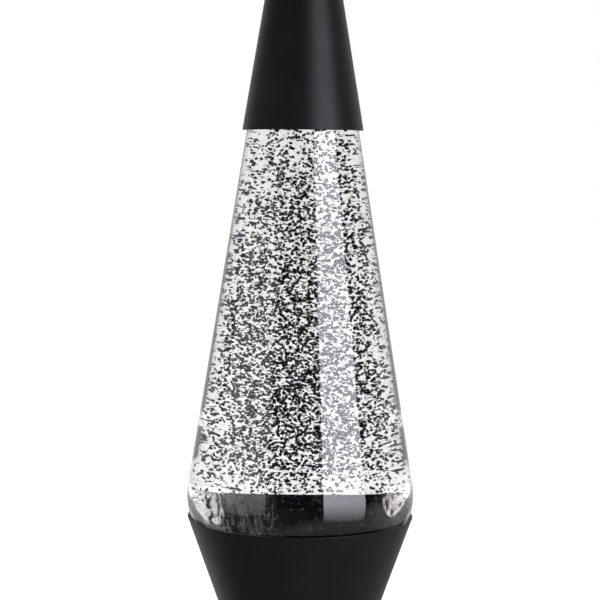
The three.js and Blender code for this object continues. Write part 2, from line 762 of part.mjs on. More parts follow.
const bulb = new THREE.Group();
place(bulb, "bulb_glass", bulbGlass(), CLEAR_GLASS);
place(bulb, "bulb_shell", bulbShell(), BRASS);
place(bulb, "bulb_insulator", bulbInsulator(), BLACK_GLASS);
place(bulb, "bulb_tip", bulbTip(), SOLDER);
place(bulb, "bulb_stem", bulbStem(), CLEAR_GLASS);
place(bulb, "bulb_support_left", supportWire(-1), ZINC_STEEL);
place(bulb, "bulb_support_right", supportWire(1), ZINC_STEEL);
place(bulb, "bulb_filament", filament(), TUNGSTEN);
lamp.add(bulb);

const bottle = new THREE.Group();
place(bottle, "bottle_glass", bottleGlass(), CLEAR_GLASS);
place(bottle, "liquid_fill", liquidFill(), CLEAR_LIQUID);
place(bottle, "crown_cap", crownCap(), TINPLATE);
place(bottle, "crown_liner", crownLiner(), WHITE_LINER);
lamp.add(bottle);

place(lamp, "cap_shell", capShell(), SATIN_BLACK);

export default lamp;
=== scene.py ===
# Looks for a glitter lamp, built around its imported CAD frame. Lengths below are in millimetres.
import math
import random

import bmesh
import bpy
from mathutils import Matrix, Vector

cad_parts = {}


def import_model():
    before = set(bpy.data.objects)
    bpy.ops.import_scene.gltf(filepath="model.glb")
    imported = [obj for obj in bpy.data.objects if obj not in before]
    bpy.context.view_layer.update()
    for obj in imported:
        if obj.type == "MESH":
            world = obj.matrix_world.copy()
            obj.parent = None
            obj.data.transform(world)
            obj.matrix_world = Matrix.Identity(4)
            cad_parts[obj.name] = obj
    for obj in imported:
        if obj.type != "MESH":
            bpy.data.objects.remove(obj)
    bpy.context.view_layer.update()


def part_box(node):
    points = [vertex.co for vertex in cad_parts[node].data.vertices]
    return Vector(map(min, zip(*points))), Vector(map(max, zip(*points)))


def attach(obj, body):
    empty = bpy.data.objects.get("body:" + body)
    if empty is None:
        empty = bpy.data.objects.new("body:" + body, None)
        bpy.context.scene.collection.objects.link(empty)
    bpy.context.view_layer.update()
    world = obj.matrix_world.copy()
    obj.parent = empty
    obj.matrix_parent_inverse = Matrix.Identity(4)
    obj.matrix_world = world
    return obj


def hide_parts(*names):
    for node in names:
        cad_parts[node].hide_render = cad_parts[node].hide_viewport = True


MM = 0.001
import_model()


def top_of(node):
    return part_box(node)[1].z / MM


def bottom_of(node):
    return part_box(node)[0].z / MM


def radius_of(node):
    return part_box(node)[1].x / MM


# -------------------------------- sizes, from the frame where it has them

LAMP_HEIGHT = top_of("cap_shell")
RIM_HEIGHT = top_of("base_cup")
WAIST_HEIGHT = bottom_of("base_cup")
SKIRT_TOP = top_of("base_skirt")
SKIRT_BOTTOM = bottom_of("base_skirt")
RIM_RADIUS = radius_of("base_cup")
FOOT_RADIUS = radius_of("base_skirt")
WAIST_RADIUS = 22.5
WAIST_HOLE = 18.6
BASE_SHEET = 0.8
CUP_TAPER = (RIM_RADIUS - WAIST_RADIUS) / (RIM_HEIGHT - WAIST_HEIGHT)
SKIRT_TAPER = (FOOT_RADIUS - WAIST_RADIUS) / (SKIRT_TOP - SKIRT_BOTTOM)

CAP_BOTTOM = bottom_of("cap_shell")
CAP_RADIUS = radius_of("cap_shell")
CAP_TAPER = 0.167
CAP_SHEET = 0.7
CAP_EDGE_BEND = 1.2
CAP_HEM = 2.0

BOTTLE_BOTTOM = bottom_of("bottle_glass")
MOUTH_HEIGHT = top_of("bottle_glass")
BOTTLE_WIDEST = 46.55
BELLY_BEND = 28.5
BOTTLE_TAPER = 0.1623
GLASS_WALL = 3.5
LIQUID_LEVEL = top_of("liquid_fill")
TAPER_TOP = 318.3
NECK_BOTTOM = 345.0
NECK_RADIUS = 12.3
MOUTH_BORE = 8.7
FILM = 0.01  # between the liquid's side and the glass, whose inner face carries the change of index
GLASS_INDEX = 1.5
LIQUID_INDEX = 1.345

GAP = 0.3
FINE = 192  # sides of a large turned piece
MEDIUM = 96

# -------------------------------- mesh helpers


def progress(value, start, end):
    """How far value is on its way from start to end, from 0 to 1."""
    return min(1.0, max(0.0, (value - start) / (end - start)))


def eased(share):
    return share * share * (3 - 2 * share)


def arc(radius, height, bend, start, end, steps):
    """Points on an arc about (radius, height), by angles in radians, 0 being outwards."""
    angles = [start + (end - start) * i / steps for i in range(steps + 1)]
    return [(radius + bend * math.cos(a), height + bend * math.sin(a)) for a in angles]


def bezier(points, steps):
    made = []
    for i in range(steps + 1):
        t = i / steps
        weights = [(1 - t) ** 3, 3 * t * (1 - t) ** 2, 3 * t * t * (1 - t), t**3]
        made.append(tuple(sum(w * p[k] for w, p in zip(weights, points)) for k in (0, 1)))
    return made


def rounded(profile, bend, steps=4, closed=True):
    """The profile with each corner off the axis rounded by up to bend."""
    count = len(profile)
    made = []
    for i, here in enumerate(profile):
        at_end = not closed and i in (0, count - 1)
        if at_end or here[0] <= 1e-6:
            made.append(here)
            continue
        before, after, corner = (Vector(profile[k % count]) for k in (i - 1, i + 1, i))
        into, away = before - corner, after - corner
        reach = min(bend, 0.45 * into.length, 0.45 * away.length)
        if into.angle(away) > math.radians(172) or reach < 1e-4:
            made.append(here)
            continue
        start = corner + into.normalized() * reach
        end = corner + away.normalized() * reach
        pull = 0.55
        curve = [start, start.lerp(corner, pull), end.lerp(corner, pull), end]
        made += bezier([tuple(p) for p in curve], steps)
    return made


def densified(profile, step, closed):
    """The profile with long stretches divided, and a point close to each end of them to hold the shading."""
    hold = 0.25
    made = []
    pairs = list(zip(profile, profile[1:] + profile[:1] if closed else profile[1:]))
    for a, b in pairs:
        made.append(a)
        length = math.dist(a, b)
        if length > 4 * hold:
            parts = max(1, round(length / step))
            shares = [hold / length] + [i / parts for i in range(1, parts)] + [1 - hold / length]
            made += [(a[0] + (b[0] - a[0]) * t, a[1] + (b[1] - a[1]) * t) for t in shares]
    if not closed:
        made.append(profile[-1])
    return made


def new_piece(name, bm, sharp=35):
    """A mesh object from a bmesh in millimetres, with faces pointing out and smooth up to the sharp angle."""
    bmesh.ops.remove_doubles(bm, verts=bm.verts, dist=1e-4)
    bmesh.ops.recalc_face_normals(bm, faces=bm.faces)
    bmesh.ops.scale(bm, vec=(MM, MM, MM), verts=bm.verts)
    mesh = bpy.data.meshes.new(name)
    bm.to_mesh(mesh)
    bm.free()
    mesh.shade_smooth()
    mesh.set_sharp_from_angle(angle=math.radians(sharp))
    piece = bpy.data.objects.new(name, mesh)
    bpy.context.scene.collection.objects.link(piece)
    return piece


def turned_bmesh(profile, sides, change=None):
    """Turns (radius, height) points about Z. A profile that doesn't start and end on the axis closes on
    itself. change(radius, angle, height) may move each point's radius."""
    on_axis = profile[0][0] < 1e-6 and profile[-1][0] < 1e-6
    bm = bmesh.new()
    rings = []
    for radius, height in profile:
        if radius < 1e-6:
            rings.append([bm.verts.new((0, 0, height))])
            continue
        ring = []
        for i in range(sides):
            angle = 2 * math.pi * i / sides
            reach = change(radius, angle, height) if change else radius
            ring.append(bm.verts.new((reach * math.cos(angle), reach * math.sin(angle), height)))
        rings.append(ring)
    pairs = list(zip(rings, rings[1:])) + ([] if on_axis else [(rings[-1], rings[0])])
    for one, other in pairs:
        for i in range(sides):
            j = (i + 1) % sides
            corners = [one[i % len(one)], one[j % len(one)], other[j % len(other)], other[i % len(other)]]
            unique = list(dict.fromkeys(corners))
            if len(unique) > 2:
                bm.faces.new(unique)
    return bm


def turned(name, profile, sides=MEDIUM, bend=0.2, step=6, change=None):
    closed = not (profile[0][0] < 1e-6 and profile[-1][0] < 1e-6)
    fine = densified(rounded(profile, bend, closed=closed), step, closed)
    return new_piece(name, turned_bmesh(fine, sides, change))


def combine(piece, tool, operation):
    """Applies a boolean of piece with tool, and deletes tool."""
    modifier = piece.modifiers.new("combine", "BOOLEAN")
    modifier.operation = operation
    modifier.solver = "EXACT"
    modifier.object = tool
    bpy.context.view_layer.update()
    evaluated = piece.evaluated_get(bpy.context.evaluated_depsgraph_get())
    mesh = bpy.data.meshes.new_from_object(evaluated)
    piece.modifiers.clear()
    piece.data = mesh
    piece.data.set_sharp_from_angle(angle=math.radians(35))
    bpy.data.objects.remove(tool)


def cut(piece, tool):
    combine(piece, tool, "DIFFERENCE")


def soften(piece, width, segments=2):
    """Rounds a piece's sharp edges."""
    bevel = piece.modifiers.new("edges", "BEVEL")
    bevel.width = width * MM
    bevel.segments = segments
    bevel.limit_method = "ANGLE"
    bevel.angle_limit = math.radians(40)
    bevel.harden_normals = True
    return piece


def cylinder(name, radius, bottom, top, sides=48):
    return turned(name, [(0, top), (radius, top), (radius, bottom), (0, bottom)], sides, bend=0)


def block(name, low, high):
    bm = bmesh.new()
    bmesh.ops.create_cube(bm, size=1)
    bmesh.ops.scale(bm, vec=Vector(high) - Vector(low), verts=bm.verts)
    bmesh.ops.translate(bm, vec=(Vector(low) + Vector(high)) / 2, verts=bm.verts)
    return new_piece(name, bm)


def prism(bm, outline, place, low, high):
    """Adds a closed outline of (u, v) points to bm, drawn out from low to high by place(u, v, w)."""
    ends = [[bm.verts.new(place(u, v, w)) for u, v in outline] for w in (low, high)]
    for end in ends:
        bm.faces.new(end)
    for i in range(len(outline)):
        j = (i + 1) % len(outline)
        bm.faces.new((ends[0][i], ends[0][j], ends[1][j], ends[1][i]))


def strip(name, outline, width):
    """An outline of (x, height) points, drawn out along Y and centred on y = 0."""
    bm = bmesh.new()
    prism(bm, outline, lambda x, z, y: (x, y, z), -width / 2, width / 2)
    return new_piece(name, bm)


def moved(piece, matrix):
    piece.data.transform(matrix)
    return piece


def shift(x=0.0, y=0.0, z=0.0):
    return Matrix.Translation((x * MM, y * MM, z * MM))


def tube(name, points, radius, sides=12):
    """A round tube along points, with closed ends and a turning frame that doesn't twist."""
    bm = bmesh.new()
    route = [Vector(p) for p in points]
    last = len(route) - 1
    along = [(route[min(i + 1, last)] - route[max(i - 1, 0)]).normalized() for i in range(last + 1)]
    side = along[0].orthogonal().normalized()
    rings = []
    for centre, direction in zip(route, along):
        side = (side - direction * side.dot(direction)).normalized()
        other = direction.cross(side)
        angles = [2 * math.pi * i / sides for i in range(sides)]
        ring = [centre + radius * (side * math.cos(a) + other * math.sin(a)) for a in angles]
        rings.append([bm.verts.new(p) for p in ring])
    for one, two in zip(rings, rings[1:]):
        for i in range(sides):
            j = (i + 1) % sides
            bm.faces.new((one[i], one[j], two[j], two[i]))
    bm.faces.new(rings[0])
    bm.faces.new(rings[-1])
    return new_piece(name, bm, sharp=50)


def smooth_route(points, per_span=8):
    """Catmull-Rom points through a route."""
    route = [Vector(p) for p in points]
    padded = [2 * route[0] - route[1], *route, 2 * route[-1] - route[-2]]
    made = []
    for i in range(1, len(padded) - 2):
        a, b, c, d = padded[i - 1 : i + 3]
        for k in range(per_span):
            t = k / per_span
            part = (2 * a - 5 * b + 4 * c - d) * t * t + (3 * b - a - 3 * c + d) * t**3
            made.append(0.5 * (2 * b + (c - a) * t + part))
    return made + [route[-1]]


# -------------------------------- materials


def material(name, color, roughness, metallic=0.0, **sockets):
    """A Principled material. Uniform values are set on the shader's own sockets."""
    made = bpy.data.materials.new(name)
    made.use_nodes = True
    shader = made.node_tree.nodes["Principled BSDF"]
    shader.inputs["Base Color"].default_value = (*color, 1)
    shader.inputs["Roughness"].default_value = roughness
    shader.inputs["Metallic"].default_value = metallic
    for socket, value in sockets.items():
        shader.inputs[socket.replace("_", " ")].default_value = value
    return made


def parts_of(made):
    tree = made.node_tree
    return tree.nodes, tree.links, tree.nodes["Principled BSDF"]


def noise(made, scale, stretch=(1, 1, 1)):
    """Noise over the piece's own coordinates, scale being in features per metre."""
    nodes, links, _ = parts_of(made)
    place = nodes.new("ShaderNodeTexCoord")
    spread = nodes.new("ShaderNodeMapping")
    spread.inputs["Scale"].default_value = stretch
    texture = nodes.new("ShaderNodeTexNoise")
    texture.inputs["Scale"].default_value = scale
    texture.inputs["Detail"].default_value = 3.0
    links.new(place.outputs["Object"], spread.inputs["Vector"])
    links.new(spread.outputs["Vector"], texture.inputs["Vector"])
    return texture.outputs["Fac"]


def vary_roughness(made, low, high, scale):
    nodes, links, shader = parts_of(made)
    ramp = nodes.new("ShaderNodeMapRange")
    ramp.inputs["From Min"].default_value = 0.3
    ramp.inputs["From Max"].default_value = 0.7
    ramp.inputs["To Min"].default_value = low
    ramp.inputs["To Max"].default_value = high
    links.new(noise(made, scale), ramp.inputs["Value"])
    links.new(ramp.outputs["Result"], shader.inputs["Roughness"])


def vary_color(made, one, other, scale):
    nodes, links, shader = parts_of(made)
    ramp = nodes.new("ShaderNodeValToRGB")
    ramp.color_ramp.elements[0].position = 0.35
    ramp.color_ramp.elements[1].position = 0.65
    ramp.color_ramp.elements[0].color = (*one, 1)
    ramp.color_ramp.elements[1].color = (*other, 1)
    links.new(noise(made, scale), ramp.inputs["Fac"])
    links.new(ramp.outputs["Color"], shader.inputs["Base Color"])


def bump(made, scale, distance, strength=0.3, stretch=(1, 1, 1)):
    nodes, links, shader = parts_of(made)
    relief = nodes.new("ShaderNodeBump")
    relief.inputs["Strength"].default_value = strength
    relief.inputs["Distance"].default_value = distance * MM
    links.new(noise(made, scale, stretch), relief.inputs["Height"])
    links.new(relief.outputs["Normal"], shader.inputs["Normal"])


def satin_black():
    made = material("satin_black_paint", (0.003, 0.003, 0.0033), 0.4, Specular_IOR_Level=0.16)
    vary_color(made, (0.0025, 0.0025, 0.0028), (0.0035, 0.0035, 0.0038), 60)
    vary_roughness(made, 0.37, 0.43, 180)
    bump(made, 1400, 0.02, 0.12)
    return made


def clear_glass(name, index, color=(0.962, 0.96, 0.956), waviness=0.0025):
    """A clear dielectric, with faint upright waves as in drawn glass."""
    made = material(name, color, 0.0, Transmission_Weight=1.0, IOR=index)
    bump(made, 50, 0.12, waviness, (1, 1, 0.07))
    return made


def flake():
    """Black glitter, with a few coloured flakes picked by each flake's own random number. The two brightest
    colours, a blue and an amber, are painted glints in place of the rainbow glints that light split by the
    glass would make.
    """
    made = material("black_glitter", (0.004, 0.004, 0.005), 0.45, Specular_IOR_Level=0.25)
    nodes, links, shader = parts_of(made)
    tint = nodes.new("ShaderNodeValToRGB")
    stops = [
        (0.0, (0.004, 0.004, 0.005)),
        (0.94, (0.012, 0.018, 0.06)),
        (0.96, (0.06, 0.05, 0.012)),
        (0.98, (0.06, 0.025, 0.014)),
        # painted glints: the bright blue and amber flakes below stand in for rainbow glints of split light
        (0.994, (0.03, 0.05, 0.26)),
        (0.997, (0.62, 0.32, 0.02)),
    ]
    tint.color_ramp.interpolation = "CONSTANT"
    while len(tint.color_ramp.elements) < len(stops):
        tint.color_ramp.elements.new(0.5)
    for element, (position, color) in zip(tint.color_ramp.elements, stops):
        element.position = position
        element.color = (*color, 1)
    each = nodes.new("ShaderNodeAttribute")
    each.attribute_name = "flake_tint_and_glint"
    links.new(each.outputs["Fac"], tint.inputs["Fac"])
    links.new(tint.outputs["Color"], shader.inputs["Base Color"])
    return made


def metal(name, one, other, roughness, scale=300):
    made = material(name, one, roughness, 1.0)
    vary_color(made, one, other, scale / 6)
    vary_roughness(made, roughness - 0.06, roughness + 0.08, scale)
    bump(made, scale * 3, 0.02, 0.15)
    return made


def moulded(name, one, other, roughness, grain=900, specular=0.5):
    made = material(name, one, roughness, Specular_IOR_Level=specular)
    vary_color(made, one, other, grain / 8)
    vary_roughness(made, roughness - 0.05, roughness + 0.05, grain / 3)
    bump(made, grain, 0.03, 0.25)
    return made


SATIN = satin_black()
BOTTLE_GLASS = clear_glass("bottle_glass_clear", GLASS_INDEX)
WETTED_GLASS = clear_glass("bottle_glass_wetted", GLASS_INDEX / LIQUID_INDEX)
BULB_GLASS = clear_glass("bulb_glass_clear", 1.45, (0.99, 0.99, 0.99))
LIQUID_SURFACE = clear_glass("liquid_surface", LIQUID_INDEX, (1, 1, 1))
LIQUID_SIDE = clear_glass("liquid_side", 1.0, (0.84, 0.833, 0.83), 0.0)
FLAKE = flake()
TINPLATE = metal("tinplate", (0.6, 0.59, 0.56), (0.52, 0.51, 0.48), 0.28)
ZINC = metal("zinc_plate", (0.46, 0.47, 0.49), (0.38, 0.39, 0.41), 0.36)
BRASS = metal("brass", (0.62, 0.4, 0.14), (0.5, 0.31, 0.1), 0.33)
SOLDER = metal("solder", (0.4, 0.41, 0.42), (0.3, 0.31, 0.32), 0.42, 1500)
TUNGSTEN = metal("tungsten", (0.17, 0.17, 0.18), (0.12, 0.12, 0.13), 0.45, 3000)
PHENOLIC = moulded("phenolic", (0.026, 0.017, 0.012), (0.016, 0.01, 0.007), 0.38, 500)
BLACK_VITREOUS = moulded("black_vitreous", (0.005, 0.005, 0.006), (0.008, 0.008, 0.009), 0.15, 200)
BLACK_PLASTIC = moulded("black_plastic", (0.01, 0.01, 0.01), (0.014, 0.014, 0.014), 0.55, 1500)
RUBBER = moulded("black_rubber", (0.009, 0.009, 0.009), (0.014, 0.014, 0.013), 0.78, 1200, 0.3)
LINER = moulded("liner", (0.75, 0.73, 0.68), (0.7, 0.68, 0.62), 0.55, 800)
BLACK_PVC = moulded("black_pvc", (0.01, 0.01, 0.011), (0.014, 0.014, 0.015), 0.42, 700)
WHITE_PVC = moulded("white_pvc", (0.68, 0.67, 0.63), (0.63, 0.62, 0.57), 0.42, 700)
NYLON = moulded("nylon", (0.66, 0.62, 0.5), (0.6, 0.56, 0.44), 0.45, 500)


def dress(piece, made, body, slot, *nodes):
    """Gives a piece its material or materials and body, and hides the CAD nodes it stands for. slot is not
    used.
    """
    if not isinstance(made, list):
        made = [made]
    for one in made:
        piece.data.materials.append(one)
    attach(piece, body)
    if nodes:
        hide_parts(*nodes)


# -------------------------------- base shells


def cup_outside(height):
    return WAIST_RADIUS + CUP_TAPER * (height - WAIST_HEIGHT)


def cup_inside(height):
    return cup_outside(height) - BASE_SHEET * math.hypot(1, CUP_TAPER)


def skirt_outside(height):
    return WAIST_RADIUS + SKIRT_TAPER * (SKIRT_TOP - height)


def skirt_inside(height):
    return skirt_outside(height) - BASE_SHEET * math.hypot(1, SKIRT_TAPER)


def base_cup():
    floor = WAIST_HEIGHT + BASE_SHEET
    profile = [
        (cup_inside(RIM_HEIGHT), RIM_HEIGHT),
        (RIM_RADIUS, RIM_HEIGHT),
        (WAIST_RADIUS, WAIST_HEIGHT),
        (WAIST_HOLE, WAIST_HEIGHT),
        (WAIST_HOLE, floor),
        (cup_inside(floor), floor),
    ]
    return turned("upper_cone", profile, FINE, 0.3)


INLET_HEIGHT = 18
INLET_BORE = 4.0
INLET_HOLE = 5.5
INLET_FLANGE = 7.5
INLET_LEAN = math.atan(SKIRT_TAPER)


def at_inlet():
    """Moves a piece turned about Z, with z = 0 on the sheet's outside, to the inlet in the skirt's back."""
    turn = Matrix.Rotation(INLET_LEAN - math.pi / 2, 4, "X")
    return shift(y=skirt_outside(INLET_HEIGHT), z=INLET_HEIGHT) @ turn


def base_skirt():
    ceiling = SKIRT_TOP - BASE_SHEET
    profile = [
        (WAIST_HOLE, SKIRT_TOP),
        (WAIST_RADIUS, SKIRT_TOP),
        (FOOT_RADIUS, SKIRT_BOTTOM),
        (skirt_inside(SKIRT_BOTTOM), SKIRT_BOTTOM),
        (skirt_inside(ceiling), ceiling),
        (WAIST_HOLE, ceiling),
    ]
    piece = turned("lower_cone", profile, FINE, 0.3)
    cut(piece, moved(cylinder("inlet_cutter", INLET_HOLE, -4, 4, 64), at_inlet()))
    return piece


def grommet():
    outer, inner, flange = 0.9, -BASE_SHEET - 0.9, 1.6
    body = INLET_HOLE - GAP
    profile = [
        (INLET_BORE, outer + flange),
        (INLET_FLANGE, outer + flange),
        (INLET_FLANGE, outer),
        (body, outer),
        (body, inner),
        (INLET_FLANGE, inner),
        (INLET_FLANGE, inner - flange),
        (INLET_BORE, inner - flange),
    ]
    return moved(turned("cord_grommet", profile, 64, 0.6), at_inlet())


dress(base_cup(), SATIN, "base", "satin_black", "base_cup")
dress(base_skirt(), SATIN, "base", "satin_black", "base_skirt")
dress(grommet(), RUBBER, "base", "black_rubber", "inlet_grommet")

# -------------------------------- bottle

UPPER_LEAN = math.atan(BOTTLE_TAPER)
LOWER_LEAN = math.atan(CUP_TAPER)
SEAT_RADIUS = cup_inside(RIM_HEIGHT) - GAP * math.hypot(1, CUP_TAPER)
LOWER_TANGENT = BOTTLE_WIDEST - BELLY_BEND * (1 - math.cos(LOWER_LEAN))
WIDEST_HEIGHT = RIM_HEIGHT + (LOWER_TANGENT - SEAT_RADIUS) / CUP_TAPER + BELLY_BEND * math.sin(LOWER_LEAN)


def tapered_outside(height):
    start = WIDEST_HEIGHT + BELLY_BEND * math.sin(UPPER_LEAN)
    reach = BOTTLE_WIDEST - BELLY_BEND * (1 - math.cos(UPPER_LEAN))
    return reach - BOTTLE_TAPER * (height - start)


def bottle_side(inset, neck, heel_bend, bottom):
    """The bottle's side from its neck down to its heel, moved in from the outside by inset."""
    centre = BOTTLE_WIDEST - BELLY_BEND
    belly = arc(centre, WIDEST_HEIGHT, BELLY_BEND - inset, UPPER_LEAN, -LOWER_LEAN, 36)
    upper_radius, upper_height = belly[0]
    taper_radius = upper_radius - BOTTLE_TAPER * (TAPER_TOP - upper_height)
    pull = 12
    shoulder = bezier(
        [
            (neck, NECK_BOTTOM),
            (neck, NECK_BOTTOM - pull),
            (taper_radius - BOTTLE_TAPER * pull, TAPER_TOP + pull),
            (taper_radius, TAPER_TOP),
        ],
        48,
    )
    lower_radius, lower_height = belly[-1]
    heel_height = bottom + heel_bend
    cone = lower_radius - CUP_TAPER * (lower_height - heel_height)
    heel_centre = cone - heel_bend * math.hypot(1, CUP_TAPER)
    heel = arc(heel_centre, heel_height, heel_bend, -LOWER_LEAN, -math.pi / 2, 20)
    return [*shoulder, *belly, *heel]


# (radius, height) points below the mouth, down the outside
LIP_RADIUS = 12.1
BEAD_RADIUS = 13.25
BEAD = [(BEAD_RADIUS, MOUTH_HEIGHT - 2.4), (BEAD_RADIUS, MOUTH_HEIGHT - 3.6), (LIP_RADIUS, MOUTH_HEIGHT - 5)]
NECK_RING = [(LIP_RADIUS, 353), (13.2, 352), (13.2, 350), (NECK_RADIUS, 348.5)]

OUTER_HEEL = 5
INNER_HEEL = 8
INNER_BOTTOM = 123
PUNT_OUTSIDE = [(24, BOTTLE_BOTTOM), (16, 120.6), (0, 122.5)]  # the floor rises towards the middle
PUNT_INSIDE = [(14, 124.6), (0, 126)]
MENISCUS = 1.2


def bottle():
    mouth = [(MOUTH_BORE, MOUTH_HEIGHT), (LIP_RADIUS, MOUTH_HEIGHT), *BEAD, *NECK_RING]
    outside = rounded(mouth, 0.5, closed=False)[1:]
    outside += bottle_side(0, NECK_RADIUS, OUTER_HEEL, BOTTLE_BOTTOM) + PUNT_OUTSIDE
    inside = bottle_side(GLASS_WALL, MOUTH_BORE, INNER_HEEL, INNER_BOTTOM)
    made = PUNT_INSIDE[::-1] + inside[::-1] + [(MOUTH_BORE, MOUTH_HEIGHT)] + outside
    piece = new_piece("bottle", turned_bmesh(densified(made, 4, False), FINE))
    for face in piece.data.polygons:
        reach, height = math.hypot(face.center.x, face.center.y) / MM, face.center.z / MM
        if INNER_BOTTOM - 0.1 < height < LIQUID_LEVEL:
            wall = bottle_inside_radius(max(height, INNER_BOTTOM + 0.01), inside)
            face.material_index = int(reach < wall + 0.2)
    return piece


def contents():
    """The liquid, just inside the glass, with a meniscus that climbs from its flat surface to the glass."""
    side = bottle_side(GLASS_WALL + FILM, MOUTH_BORE - FILM, INNER_HEEL, INNER_BOTTOM + FILM)
    flat = LIQUID_LEVEL - MENISCUS
    reach = bottle_inside_radius(LIQUID_LEVEL, side)
    creep = 1.4
    surface = [(0, flat), (reach - 2 * creep, flat), (reach - creep, LIQUID_LEVEL - 0.95)]
    surface += [(reach - 0.4, LIQUID_LEVEL - 0.4), (reach, LIQUID_LEVEL)]
    lower = [p for p in side if p[1] < flat]
    floor = [(radius, height + FILM) for radius, height in PUNT_INSIDE]
    piece = new_piece("liquid", turned_bmesh(densified(surface + lower + floor, 4, False), FINE))
    for face in piece.data.polygons:
        face.material_index = int(face.center.z / MM < flat - 0.01)
    return piece


def bottle_inside_radius(height, side):
    """The radius at a height of a side given from the top down."""
    above = [p for p in side if p[1] >= height][-1]
    below = [p for p in side if p[1] < height][0]
    share = (height - below[1]) / (above[1] - below[1])
    return below[0] + share * (above[0] - below[0])


dress(bottle(), [BOTTLE_GLASS, WETTED_GLASS], "bottle", "clear_glass", "bottle_glass")
dress(contents(), [LIQUID_SURFACE, LIQUID_SIDE], "bottle", "clear_liquid", "liquid_fill")

# -------------------------------- glitter

FLAKES = 14800
FLAKE_SIZE = 1.0
FLAKE_THICK = 0.06
FLAKE_CLEARANCE = 0.5
GLITTER_LOW = 130
GLITTER_HIGH = 322
LOW_SPARSE, LOW_FULL = 143, 181  # flakes get more crowded from the first height up to the second
CAP_SPARSE, CAP_FULL = 325, 275  # and from the first of these down to the second
CALM_HIGH = (250, 2)  # above this height they are fewer within this distance of the glass,
CALM_LOW = (150, 22)  # and below this one within this distance


def crowding(height, reach):
    """How crowded the flakes are at a height and a distance from the glass, 1 being the most."""
    rise = eased(progress(height, LOW_SPARSE, LOW_FULL))
    fall = progress(height, CAP_SPARSE, CAP_FULL)
    calm = CALM_HIGH[1] + (CALM_LOW[1] - CALM_HIGH[1]) * progress(height, CALM_HIGH[0], CALM_LOW[0])
    return (0.03 + 0.97 * rise * (0.55 + 0.45 * fall)) * min(1.0, 0.06 + reach / calm)


def glitter():
    rng = random.Random(7)
    side = bottle_side(GLASS_WALL + 0.6, MOUTH_BORE - 0.6, INNER_HEEL, INNER_BOTTOM + 0.6)
    widest = max(r for r, _ in side)
    bm = bmesh.new()
    tints_and_glints = []
    made = 0
    while made < FLAKES:
        height = rng.uniform(GLITTER_LOW, GLITTER_HIGH)
        x, y = rng.uniform(-widest, widest), rng.uniform(-widest, widest)
        reach = bottle_inside_radius(height, side) - math.hypot(x, y)
        if reach < FLAKE_CLEARANCE or rng.random() > crowding(height, reach):
            continue
        size = FLAKE_SIZE * rng.uniform(0.85, 1.15) / 2
        angle = rng.uniform(0, 2 * math.pi)
        axis = Vector([rng.gauss(0, 1) for _ in range(3)]).normalized()
        place = Matrix.Translation((x, y, height)) @ Matrix.Rotation(angle, 4, axis)
        corners = [(-size, -size), (size, -size), (size, size), (-size, size)]
        rim = [bm.verts.new(place @ Vector((u, v, 0))) for u, v in corners]
        peaks = [bm.verts.new(place @ Vector((0, 0, up * FLAKE_THICK / 2))) for up in (1, -1)]
        for k in range(4):
            bm.faces.new((rim[k], rim[(k + 1) % 4], peaks[0]))
            bm.faces.new((rim[(k + 1) % 4], rim[k], peaks[1]))
        # each flake's random number picks its colour, and the highest few pick a painted glint
        tints_and_glints += [rng.random()] * 6
        made += 1
    bmesh.ops.scale(bm, vec=(MM, MM, MM), verts=bm.verts)
    mesh = bpy.data.meshes.new("glitter")
    bm.to_mesh(mesh)
    bm.free()
    mesh.attributes.new("flake_tint_and_glint", "FLOAT", "POINT").data.foreach_set("value", tints_and_glints)
    piece = bpy.data.objects.new("glitter", mesh)
    bpy.context.scene.collection.objects.link(piece)
    return piece


dress(glitter(), FLAKE, "bottle", "glitter")

# -------------------------------- cap


def cap():
    def side(height, inset):
        return CAP_RADIUS - CAP_TAPER * (height - CAP_BOTTOM) - inset

    edge_height = LAMP_HEIGHT - CAP_EDGE_BEND
    top_edge = arc(side(edge_height, CAP_EDGE_BEND), edge_height, CAP_EDGE_BEND, math.pi / 2, 0, 8)
    ceiling = LAMP_HEIGHT - CAP_SHEET
    hem = CAP_BOTTOM + CAP_HEM
    lower = [
        (CAP_RADIUS, CAP_BOTTOM),
        (tapered_outside(CAP_BOTTOM) + GAP, CAP_BOTTOM),
        (tapered_outside(hem) + GAP, hem),
        (side(hem, CAP_SHEET), hem),
        (side(ceiling, CAP_SHEET + 0.3), ceiling),
        (0, ceiling),
    ]
    return turned("top_cap", [(0, LAMP_HEIGHT), *top_edge, *lower], FINE, 0.25)


dress(cap(), SATIN, "cap", "satin_black", "cap_shell")

# -------------------------------- threads, screws and nuts

SCREW_HEAD = 2
PLATE_HOLE = 2.3


def thread(pitch, depth, bottom, top, beyond=0.0, ease=0.8):
    """A change of radius that rolls a right-hand thread into what is beyond a radius, between two heights."""

    def change(radius, angle, height):
        fade = max(0.0, min(1.0, (height - bottom) / ease, (top - height) / ease))
        wave = 0.5 - 0.5 * math.cos(2 * math.pi * height / pitch - angle)
        return radius - (fade * depth * wave if radius > beyond else 0)

    return change


def screw(name, node, shank, head_bend, pitch, threaded_from, slots):
    """A screw with its head down, threaded above a height, and its head slotted along each angle in slots."""
    x = (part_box(node)[0].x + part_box(node)[1].x) / 2 / MM
    head = radius_of(node) - x
    head_bottom, end = bottom_of(node), top_of(node)
    seat = head_bottom + SCREW_HEAD
    dome = [(head, seat - 0.9), (head, seat - 1.7), (head - head_bend, head_bottom), (0, head_bottom)]
    profile = [(0, end), (shank - 0.4, end), (shank, end - 0.5), (shank, seat), (head, seat)]
    profile += bezier(dome, 10)
    change = thread(pitch, 0.25, threaded_from, end - 0.2)
    piece = turned(name, profile, 48, 0.08, pitch / 10, change)
    reach, half, depth = (head * 0.6, 0.45, 1.3) if len(slots) > 1 else (head + 1, 0.4, 0.9)
    for angle in slots:
        tool = block("slot_cutter", (-reach, -half, head_bottom - 1), (reach, half, head_bottom + depth))
        cut(piece, moved(tool, Matrix.Rotation(angle, 4, "Z")))
    return moved(piece, shift(x=x))


